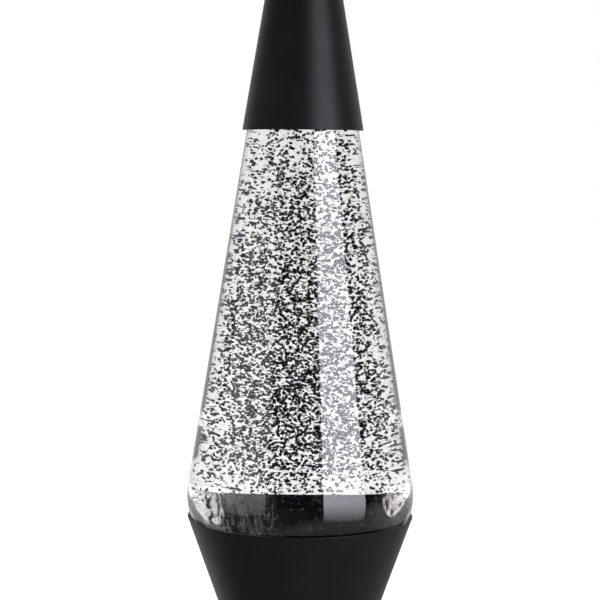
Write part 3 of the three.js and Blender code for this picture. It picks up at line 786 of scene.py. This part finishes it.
def ring(name, inner, outer, bottom, top, bend=0.12, sides=MEDIUM, change=None, step=6):
    section = [(inner, top), (outer, top), (outer, bottom), (inner, bottom)]
    return turned(name, section, sides, bend, step, change)


def washer():
    node = "plate_washer"
    return ring("flat_washer", PLATE_HOLE, radius_of(node), bottom_of(node), top_of(node), 0.15)


def plate_nut():
    """A hexagon nut with chamfered corners, flat on +X."""
    flats, hole = radius_of("plate_nut"), PLATE_HOLE
    corner = flats / math.cos(math.pi / 6)
    bottom, top = bottom_of("plate_nut"), top_of("plate_nut")
    chamfer = corner - flats
    bore = thread(0.7, 0.15, bottom, top)

    def change(radius, angle, height):
        if radius < hole + 0.5:
            return bore(radius, angle, height)
        to_flat = (angle + math.pi / 6) % (math.pi / 3) - math.pi / 6
        return min(radius, flats / math.cos(to_flat))

    profile = [(hole, top), (corner - chamfer, top), (corner, top - 0.4), (corner, bottom + 0.4)]
    profile += [(corner - chamfer, bottom), (hole, bottom)]
    return turned("hexagon_nut", profile, 96, 0.05, 0.07, change)


dress(plate_nut(), ZINC, "base", "zinc_steel", "plate_nut")
for name, node, *shape in (
    ("long_plate_screw", "plate_screw", 2, 0.9, 0.7, 26, (0, math.pi / 2)),
    ("socket_fixing_left", "socket_screw_left", 1.4, 0.7, 0.5, 43, (0.6,)),
    ("socket_fixing_right", "socket_screw_right", 1.4, 0.7, 0.5, 43, (-0.9,)),
):
    dress(screw(name, node, *shape), ZINC, "base", "zinc_steel", node)
dress(washer(), ZINC, "base", "zinc_steel", "plate_washer")

# -------------------------------- waist clamp

COLLAR_BODY = WAIST_HOLE - 0.4


def waist_collar():
    top, bottom, flange = top_of("waist_collar"), bottom_of("waist_collar"), radius_of("waist_collar")
    bore, body, seat, thread_top = 16.4, COLLAR_BODY, top - 1.2, 79
    profile = [(bore, top), (flange, top), (flange, seat), (body, seat), (body, bottom), (bore, bottom)]
    change = thread(1.5, 0.35, bottom, thread_top, bore + 0.8)
    return turned("clamp_collar", profile, FINE, 0.25, 0.15, change)


def waist_nut():
    top, bottom, outer = top_of("waist_nut"), bottom_of("waist_nut"), radius_of("waist_nut")
    piece = ring("ring_nut", COLLAR_BODY + GAP, outer, bottom, top, 0.3, FINE)
    for i in range(3):
        notch = block("notch_cutter", (-30, -1.5, bottom - 1), (30, 1.5, bottom + 1.2))
        cut(piece, moved(notch, Matrix.Rotation((i + 0.5) * math.pi / 3, 4, "Z")))
    return soften(piece, 0.12)


dress(waist_collar(), ZINC, "base", "zinc_steel", "waist_collar")
dress(waist_nut(), ZINC, "base", "zinc_steel", "waist_nut")

# -------------------------------- socket and its bracket

BRACKET_SHEET = 1.0
BRACKET_HALF = radius_of("socket_bracket")
BRACKET_TOP = top_of("socket_bracket")
CROSSBAR_BOTTOM = bottom_of("socket_bracket")
STRAP_WIDTH = 8
SOCKET_SCREW_OFFSET = 7.5
SOCKET_SCREW_HOLE = 1.7
SOCKET_BOTTOM = bottom_of("socket_body")
SOCKET_TOP = top_of("socket_body")
SOCKET_RADIUS = radius_of("socket_body")
SOCKET_FLOOR = 49.5
SOCKET_BORE = 9.9


def corner_arcs(half, low, bend):
    """A U of (x, height) points with round lower corners, from its left leg to its right one."""
    left = arc(-half + bend, low + bend, bend, math.pi, 1.5 * math.pi, 8)
    right = arc(half - bend, low + bend, bend, 1.5 * math.pi, 2 * math.pi, 8)
    return [*left, *right]


def socket_bracket():
    bend = 2.2
    outer = corner_arcs(BRACKET_HALF, CROSSBAR_BOTTOM, bend)
    inner = corner_arcs(BRACKET_HALF - BRACKET_SHEET, CROSSBAR_BOTTOM + BRACKET_SHEET, bend - BRACKET_SHEET)
    legs = BRACKET_TOP - BRACKET_SHEET / 2
    outline = [(-BRACKET_HALF, legs), *outer, (BRACKET_HALF, legs)]
    outline += [(BRACKET_HALF - BRACKET_SHEET, legs), *inner[::-1], (-BRACKET_HALF + BRACKET_SHEET, legs)]
    piece = strip("socket_stirrup", outline, STRAP_WIDTH)
    disc = ring("stirrup_ring", WAIST_HOLE, BRACKET_HALF, BRACKET_TOP - BRACKET_SHEET, BRACKET_TOP, 0, FINE)
    combine(piece, disc, "UNION")
    for side in (-1, 1):
        hole = cylinder("hole_cutter", SOCKET_SCREW_HOLE, CROSSBAR_BOTTOM - 1, CROSSBAR_BOTTOM + 3)
        cut(piece, moved(hole, shift(x=side * SOCKET_SCREW_OFFSET)))
    return soften(piece, 0.12)


def grooves(radius, heights, depth, half):
    """Points down a side of this radius with a groove at each height, from the top one down."""
    made = []
    for height in heights:
        made += [(radius, height + half), (radius - depth, height + 0.6 * half)]
        made += [(radius - depth, height - 0.6 * half), (radius, height - half)]
    return made


def socket_body():
    outside = [(SOCKET_BORE, SOCKET_TOP), (SOCKET_RADIUS, SOCKET_TOP)]
    outside += grooves(SOCKET_RADIUS, (66, 63.6, 51), 0.5, 0.7)
    outside += [(SOCKET_RADIUS, SOCKET_BOTTOM), (0, SOCKET_BOTTOM), (0, SOCKET_FLOOR)]
    profile = outside[::-1] + [(SOCKET_BORE, SOCKET_FLOOR), (0, SOCKET_FLOOR)]
    piece = turned("socket_housing", profile, MEDIUM, 0.4)
    for side in (-1, 1):
        hole = cylinder("hole_cutter", SOCKET_SCREW_HOLE, SOCKET_BOTTOM - 1, SOCKET_FLOOR - 0.6)
        cut(piece, moved(hole, shift(x=side * SOCKET_SCREW_OFFSET)))
    return piece


THREAD_PITCH = 2.822
THREAD_SWING = 0.25  # each way from the shell's mean radius
THREAD_RADIUS = 8.1
THREAD_PLAY = 0.75


def socket_shell():
    inner = THREAD_RADIUS + THREAD_PLAY + THREAD_SWING
    bottom, top = bottom_of("socket_shell"), top_of("socket_shell")
    change = thread(THREAD_PITCH, 2 * THREAD_SWING, bottom, top)
    return ring("threaded_sleeve", inner, inner + 0.4, bottom, top, 0.1, MEDIUM, change, THREAD_PITCH / 20)


def socket_contact():
    low, high = bottom_of("socket_contact"), top_of("socket_contact")
    sheet, tail, tongue = 0.4, -7, 2.6
    top_line = [(tail, low + sheet), (-3.4, low + sheet), (-1.6, high), (tongue, high)]
    bottom_line = [(tongue, high - sheet), (-1.4, high - sheet), (-3.2, low), (tail, low)]
    outline = rounded(top_line, 0.6, 6, False) + rounded(bottom_line, 0.6, 6, False)
    return soften(strip("centre_contact", outline, 4), 0.06)


dress(socket_bracket(), ZINC, "base", "zinc_steel", "socket_bracket")
dress(socket_body(), PHENOLIC, "base", "phenolic", "socket_body")
dress(socket_shell(), BRASS, "base", "brass", "socket_shell")
dress(socket_contact(), BRASS, "base", "brass", "socket_contact")

# -------------------------------- bulb

BULB_TOP = top_of("bulb_glass")
BULB_RADIUS = radius_of("bulb_glass")
BULB_NECK_BOTTOM = bottom_of("bulb_glass")
BULB_NECK = 7.2
BULB_NECK_TOP = 72
BULB_WALL = 0.8
BALL_END = math.radians(-52)
STEM_TOP = top_of("bulb_stem")
STEM_FOOT = bottom_of("bulb_stem")
FILAMENT_HEIGHT = 91
FILAMENT_HALF = 6
FILAMENT_RISE = 1.5
FILAMENT_WIRE = 0.085
SUPPORT_WIRE = 0.22


def bulb_side(radius, neck):
    ball = arc(0, BULB_TOP - BULB_RADIUS, radius, math.pi / 2, BALL_END, 72)
    reach, height = ball[-1]
    controls = [(reach, height), (reach - 2.4, height - 2), (neck, BULB_NECK_TOP + 4), (neck, BULB_NECK_TOP)]
    return [*ball, *bezier(controls, 32)[1:], (neck, BULB_NECK_BOTTOM)]


def bulb_glass():
    inside = bulb_side(BULB_RADIUS - BULB_WALL, BULB_NECK - BULB_WALL)
    profile = bulb_side(BULB_RADIUS, BULB_NECK) + inside[::-1]
    return new_piece("bulb_envelope", turned_bmesh(densified(profile, 2, False), FINE))


def bulb_shell():
    """The rolled thread of the bulb's base, turned in over its insulator at the bottom."""
    bottom, top = bottom_of("bulb_shell"), top_of("bulb_shell")
    outer = THREAD_RADIUS + THREAD_SWING
    inner = outer - 0.35
    profile = [(inner, top), (outer, top), (outer, bottom + 1.4), (outer - 0.9, bottom)]
    profile += [(outer - 1.25, bottom + 0.1), (inner, bottom + 1.6)]
    change = thread(THREAD_PITCH, 2 * THREAD_SWING, bottom + 1.6, top - 1, ease=1.2)
    return turned("bulb_screw_shell", profile, MEDIUM, 0.2, THREAD_PITCH / 20, change)


def bulb_insulator():
    bottom, top = bottom_of("bulb_insulator"), top_of("bulb_insulator")
    return turned("vitreous_insulator", [(0, top), (7.2, top), (3.4, bottom), (0, bottom)], 64, 0.5)


def bulb_tip():
    bottom, top = bottom_of("bulb_tip"), top_of("bulb_tip")
    dome = bezier([(2.6, top - 0.1), (2.6, bottom + 0.3), (1.3, bottom), (0, bottom)], 12)

    def uneven(radius, angle, height):
        return radius * (1 + 0.02 * math.cos(2 * angle + 1) + 0.012 * math.cos(3 * angle))

    return turned("solder_tip", [(0, top), (2.4, top), *dome], 48, 0.05, change=uneven)


def bulb_stem():
    """The bulb's glass mount: a hollow flare below, and a flat press above that grips both wires."""
    press_bottom = 75.5
    outside = bezier([(2, 76), (2.1, 72.5), (2.8, 68.4), (5.9, STEM_FOOT + 0.5)], 14)
    hollow = bezier([(5.1, STEM_FOOT), (2.2, 68.4), (1.3, 71), (0.9, 74)], 12)
    profile = [(0, STEM_TOP), (1.4, STEM_TOP - 0.1), (1.8, STEM_TOP - 0.8), *outside]
    profile += [(5.9, STEM_FOOT), *hollow, (0, 74.4)]

    def press(radius, angle, height):
        flat = 1 / math.hypot(math.cos(angle) / 1.2, math.sin(angle) / 0.55)
        return radius * (1 + eased(progress(height, press_bottom, press_bottom + 3)) * (flat - 1))

    return turned("glass_mount", profile, 64, 0.1, 1, press)


def bulb_support(name, side):
    """A stiff wire out of the press, hooked round its end of the filament."""
    hook = FILAMENT_HALF
    route = [(1.1, STEM_TOP - 4), (1.1, STEM_TOP), (1.5, STEM_TOP + 1.6), (2.6, STEM_TOP + 4)]
    route += [(hook - 1.2, 89), (hook - 0.2, 90.2), (hook + 0.4, 90.8)]
    route += [(hook + 0.3, 91.5), (hook - 0.3, 91.6), (hook - 0.5, 91.1)]
    return tube(name, smooth_route([(side * x, 0, z) for x, z in route]), SUPPORT_WIRE)


def bulb_filament():
    """A close coil that bows up between its two hooks, with straight tails."""
    turns, steps = 44, 12
    count = turns * steps
    points = []
    for i in range(count + 1):
        t = i / count
        x = FILAMENT_HALF * (2 * t - 1)
        slope = -2 * FILAMENT_RISE * x / FILAMENT_HALF**2
        height = FILAMENT_HEIGHT + FILAMENT_RISE * (1 - (x / FILAMENT_HALF) ** 2)
        swing = 0.36 * min(1.0, 14 * t, 14 * (1 - t))
        around = 2 * math.pi * i / steps
        lean = Vector((-slope, 0, 1)).normalized()
        offset = lean * math.cos(around) + Vector((0, math.sin(around), 0))
        points.append(Vector((x, 0, height)) + swing * offset)
    return tube("filament_coil", points, FILAMENT_WIRE, 6)


dress(bulb_glass(), BULB_GLASS, "bulb", "bulb_glass", "bulb_glass")
dress(bulb_shell(), BRASS, "bulb", "brass", "bulb_shell")
dress(bulb_insulator(), BLACK_VITREOUS, "bulb", "black_glass", "bulb_insulator")
dress(bulb_tip(), SOLDER, "bulb", "solder", "bulb_tip")
dress(bulb_stem(), BULB_GLASS, "bulb", "bulb_glass", "bulb_stem")
dress(bulb_support("filament_hook_left", -1), ZINC, "bulb", "zinc_steel", "bulb_support_left")
dress(bulb_support("filament_hook_right", 1), ZINC, "bulb", "zinc_steel", "bulb_support_right")
dress(bulb_filament(), TUNGSTEN, "bulb", "tungsten", "bulb_filament")

# -------------------------------- bottom plate, foot and leads

PLATE_BOTTOM = bottom_of("base_plate")
PLATE_SHEET = 2.0
HUB_BOTTOM = top_of("base_plate") - PLATE_SHEET
HUB_RADIUS = 8
HUB_SLOPE = 4
VENTS = 12
VENT_LENGTH = 14
VENT_WIDTH = 2.6
VENT_RADIUS = 25


def vent_outline():
    """A slot with round ends, along u."""
    straight = VENT_LENGTH / 2 - VENT_WIDTH / 2
    right = arc(VENT_RADIUS + straight, 0, VENT_WIDTH / 2, -math.pi / 2, math.pi / 2, 10)
    left = arc(VENT_RADIUS - straight, 0, VENT_WIDTH / 2, math.pi / 2, 1.5 * math.pi, 10)
    return [*right, *left]


def base_plate():
    top, hub_top = PLATE_BOTTOM + PLATE_SHEET, HUB_BOTTOM + PLATE_SHEET
    hole, hub_inside, rib = PLATE_HOLE, HUB_RADIUS + 1, 36
    profile = [
        (hole, hub_top),
        (hub_inside, hub_top),
        (hub_inside + HUB_SLOPE, top),
        (rib - 0.6, top),
        (rib - 0.4, top + 1.4),
        (rib + 0.4, top + 1.4),
        (rib + 0.6, top),
        (skirt_inside(top) - GAP, top),
        (skirt_inside(PLATE_BOTTOM) - GAP, PLATE_BOTTOM),
        (HUB_RADIUS + HUB_SLOPE, PLATE_BOTTOM),
        (HUB_RADIUS, HUB_BOTTOM),
        (hole, HUB_BOTTOM),
    ]
    piece = turned("bottom_plate", profile, FINE, 0.4)
    bm = bmesh.new()
    for i in range(VENTS):
        turn = Matrix.Rotation(2 * math.pi * (i + 0.5) / VENTS, 3, "Z")
        prism(bm, vent_outline(), lambda u, v, w: turn @ Vector((u, v, w)), -5, 15)
    cut(piece, new_piece("vent_cutter", bm))
    return soften(piece, 0.25)


def foot_ring():
    inner, outer, top = 39, radius_of("foot_ring"), top_of("foot_ring")
    profile = [(inner, top), (outer, top), (outer, 0)]
    for groove in (44.9, 42.75, 40.6):
        profile += [(groove + 0.5, 0), (groove + 0.3, 0.6), (groove - 0.3, 0.6), (groove - 0.5, 0)]
    return turned("foot_pad", [*profile, (inner, 0)], FINE, 0.25)


CRIMP_X = 7
CRIMP_Y = 26
LEAD_RADIUS = 0.95


def lead(name, side):
    """An insulated lead from the socket's side down into its crimp."""
    route = [
        (0, SOCKET_RADIUS - 0.6, 47.4),
        (0, SOCKET_RADIUS + 0.4, 47),
        (1, SOCKET_RADIUS + 5, 44.5),
        (4, 23, 36),
        (CRIMP_X, CRIMP_Y, 28),
        (CRIMP_X, CRIMP_Y, 20.3),
        (CRIMP_X, CRIMP_Y, 15.5),
    ]
    return tube(name, smooth_route([(side * x, side * y, z) for x, y, z in route], 10), LEAD_RADIUS, 24)


def crimp(name, node, side):
    """A closed-end connector: a flared mouth, a barrel pinched from both sides and a round end."""
    bottom, top, mouth = bottom_of(node), top_of(node), 2.8
    barrel = 2.45
    profile = [(0, top - 5.5), (1.7, top - 5.5), (1.8, top - 3.2), (mouth - 0.4, top - 1.8)]
    profile += [(mouth - 0.4, top), (mouth, top), (mouth, top - 2.6)]
    profile += [(barrel, top - 3.8), (barrel, bottom + 1.6)]
    profile += bezier([(barrel, bottom + 1.5), (barrel, bottom + 0.5), (1.4, bottom), (0, bottom)], 10)

    def pinch(radius, angle, height):
        depth = max(0.0, 1 - ((height - bottom - 4) / 1.8) ** 2)
        return radius * (1 - 0.2 * depth * math.cos(angle) ** 4)

    return moved(turned(name, profile, 48, 0.15, 0.5, pinch), shift(side * CRIMP_X, side * CRIMP_Y))


dress(base_plate(), BLACK_PLASTIC, "base", "black_plastic", "base_plate")
dress(foot_ring(), RUBBER, "base", "black_rubber", "foot_ring")
dress(lead("black_lead", 1), BLACK_PVC, "base", "black_wire", "lead_live")
dress(lead("white_lead", -1), WHITE_PVC, "base", "white_wire", "lead_neutral")
dress(crimp("closed_end_live", "crimp_live", 1), NYLON, "base", "nylon", "crimp_live")
dress(crimp("closed_end_neutral", "crimp_neutral", -1), NYLON, "base", "nylon", "crimp_neutral")

# -------------------------------- crown

CROWN_TOP = top_of("crown_cap")
CROWN_BOTTOM = bottom_of("crown_cap")
CROWN_EDGE = 14.4
CROWN_SHEET = 0.5
FLUTES = 21
FLUTE_DEPTH = 0.6


def crown():
    """A pressed steel crown, with a shallow step round its panel and flutes that deepen towards its edge."""
    corner = [(CROWN_EDGE - 1.9, CROWN_TOP), (CROWN_EDGE - 1.1, CROWN_TOP - 0.05)]
    corner += [(CROWN_EDGE - 0.65, CROWN_TOP - 0.45), (CROWN_EDGE - 0.55, CROWN_TOP - 1.3)]
    upper = [(0, CROWN_TOP - 0.15), (9.6, CROWN_TOP - 0.15), (10, CROWN_TOP), *bezier(corner, 12)]
    outside = upper + [(CROWN_EDGE - 0.35, CROWN_BOTTOM + 2.8), (CROWN_EDGE - 0.25, CROWN_BOTTOM)]
    inside = [(CROWN_EDGE - 0.65, CROWN_BOTTOM), (CROWN_EDGE - 0.75, CROWN_BOTTOM + 2.8)]
    inside += [(CROWN_EDGE - 1.1, CROWN_TOP - 1.5), (CROWN_EDGE - 2.2, CROWN_TOP - CROWN_SHEET)]
    inside += [(0, CROWN_TOP - CROWN_SHEET - 0.1)]

    def flute(radius, angle, height):
        down = progress(height, CROWN_TOP - 1, CROWN_BOTTOM)
        wave = 0.85 * math.cos(FLUTES * angle) - 0.15 * math.cos(2 * FLUTES * angle)
        return radius + (FLUTE_DEPTH * down * wave if radius > CROWN_EDGE - 1.3 else 0)

    return turned("steel_crown", [*outside, *inside], 16 * FLUTES, 0.1, 0.5, flute)


def crown_liner():
    radius, bottom, top = radius_of("crown_liner"), bottom_of("crown_liner"), top_of("crown_liner")
    profile = [(0, top), (radius, top), (radius, bottom), (radius - 1.6, bottom), (radius - 2, bottom + 0.15)]
    return turned("liner_disc", [*profile, (0, bottom + 0.15)], MEDIUM, 0.1)


dress(crown(), TINPLATE, "bottle", "tinplate", "crown_cap")
dress(crown_liner(), LINER, "bottle", "liner", "crown_liner")

# -------------------------------- floor, light and camera

AIM_HEIGHT = 238 * MM
FLOOR_LIGHT = 1.08  # the world's brightness as it lights matt surfaces
FRONT_ROOM = 0.04  # and as it shows in gloss and through glass: in front of the lamp,
BACKDROP = 0.73  # behind it,
TABLE = 0.45  # and below it and to its right


def floor():
    half = 6000
    bm = bmesh.new()
    bm.faces.new([bm.verts.new((x * half, y * half, 0)) for x, y in ((-1, -1), (1, -1), (1, 1), (-1, 1))])
    piece = new_piece("floor", bm)
    piece.data.materials.append(material("pale_floor", (0.99, 0.99, 0.99), 0.8, Specular_IOR_Level=0.0))
    piece.visible_glossy = False


def softbox(
    name, azimuth, size, radiance, centre, distance=1.0, levels=(1, 1, 1), lights="all", tint=(1, 1, 1)
):
    """An area light facing the lamp, in metres, at an azimuth to the right of the front and with its centre
    at a height. levels are its shares of the radiance at its lower edge, middle and upper edge. It lights
    "all", only "surfaces", or only what is seen through "glass"."""
    width, height = size
    light = bpy.data.lights.new(name, "AREA")
    light.shape = "RECTANGLE"
    light.size = width
    light.size_y = height
    light.energy = math.pi * width * height * radiance
    light.color = tint
    light.use_nodes = True
    nodes, links = light.node_tree.nodes, light.node_tree.links
    across = nodes.new("ShaderNodeNewGeometry")
    split = nodes.new("ShaderNodeSeparateXYZ")
    fade = nodes.new("ShaderNodeValToRGB")
    fade.color_ramp.elements.new(0.5)
    for element, level in zip(fade.color_ramp.elements, levels):
        element.color = (level, level, level, 1)
    links.new(across.outputs["Parametric"], split.inputs[0])
    links.new(split.outputs["Y"], fade.inputs["Fac"])
    links.new(fade.outputs["Color"], nodes["Emission"].inputs["Strength"])
    lamp = bpy.data.objects.new(name, light)
    angle = math.radians(azimuth)
    lamp.location = (distance * math.sin(angle), -distance * math.cos(angle), centre)
    towards = Vector((0, 0, AIM_HEIGHT)) - lamp.location
    lamp.rotation_euler = towards.to_track_quat("-Z", "Y").to_euler()
    lamp.visible_camera = False
    lamp.visible_transmission = lights != "surfaces"
    lamp.visible_diffuse = lamp.visible_glossy = lights != "glass"
    bpy.context.scene.collection.objects.link(lamp)


def world():
    sky = bpy.data.worlds.new("studio")
    bpy.context.scene.world = sky
    sky.use_nodes = True
    nodes, links = sky.node_tree.nodes, sky.node_tree.links
    nodes.clear()
    out = nodes.new("ShaderNodeOutputWorld")
    rays = nodes.new("ShaderNodeLightPath")

    def ground(value):
        shader = nodes.new("ShaderNodeBackground")
        shader.inputs["Color"].default_value = (value, value, value, 1)
        return shader.outputs["Background"]

    def mix(factor, one, other):
        mixed = nodes.new("ShaderNodeMixShader")
        links.new(factor, mixed.inputs[0])
        links.new(one, mixed.inputs[1])
        links.new(other, mixed.inputs[2])
        return mixed.outputs[0]

    def fade(value, start, end):
        ramp = nodes.new("ShaderNodeMapRange")
        ramp.inputs["From Min"].default_value = start
        ramp.inputs["From Max"].default_value = end
        links.new(value, ramp.inputs["Value"])
        return ramp.outputs["Result"]

    place = nodes.new("ShaderNodeTexCoord")
    split = nodes.new("ShaderNodeSeparateXYZ")
    links.new(place.outputs["Generated"], split.inputs[0])
    slope = nodes.new("ShaderNodeVectorMath")
    slope.operation = "DOT_PRODUCT"
    slope.inputs[1].default_value = (0.4, 0, -1)
    links.new(place.outputs["Generated"], slope.inputs[0])
    level = mix(fade(split.outputs["Y"], 0.0, 0.6), ground(FRONT_ROOM), ground(BACKDROP))
    room = mix(fade(slope.outputs["Value"], 0.33, 0.55), level, ground(TABLE))
    lit = mix(rays.outputs["Is Diffuse Ray"], room, ground(FLOOR_LIGHT))
    seen = mix(rays.outputs["Is Camera Ray"], lit, ground(1.0))
    links.new(seen, out.inputs["Surface"])


def camera():
    lens = bpy.data.cameras.new("camera")
    lens.lens = 108
    lens.sensor_width = 36
    eye = bpy.data.objects.new("camera", lens)
    bpy.context.scene.collection.objects.link(eye)
    eye.location = (0, -0.733, 0.2971)
    down = math.radians(4.788)
    turn_left = math.radians(0.054)
    roll = math.radians(0.436)
    look = Matrix.Rotation(turn_left, 4, "Z") @ Matrix.Rotation(math.pi / 2 - down, 4, "X")
    eye.rotation_euler = (look @ Matrix.Rotation(roll, 4, "Z")).to_euler()
    bpy.context.scene.camera = eye


floor()
softbox("key", 45, (0.82, 1.1), 7.4, 0.3, levels=(0.03, 1, 1), lights="surfaces", tint=(0.96, 0.95, 1.07))
softbox("fill", -66, (1.5, 0.85), 1.6, 0.28, 1.2, levels=(0.4, 1, 0.1))
softbox("overhead", 0, (1.6, 1.6), 0.6, 2.1, 0.05)
softbox("right_glint", 48, (0.22, 0.6), 15, 0.62, lights="glass")
softbox("right_haze", 29, (0.5, 0.8), 2.6, 0.65, lights="glass")
softbox("left_glint", -52, (0.24, 0.7), 13, 0.62, lights="glass")
world()
camera()
bpy.context.scene.view_settings.view_transform = "Standard"
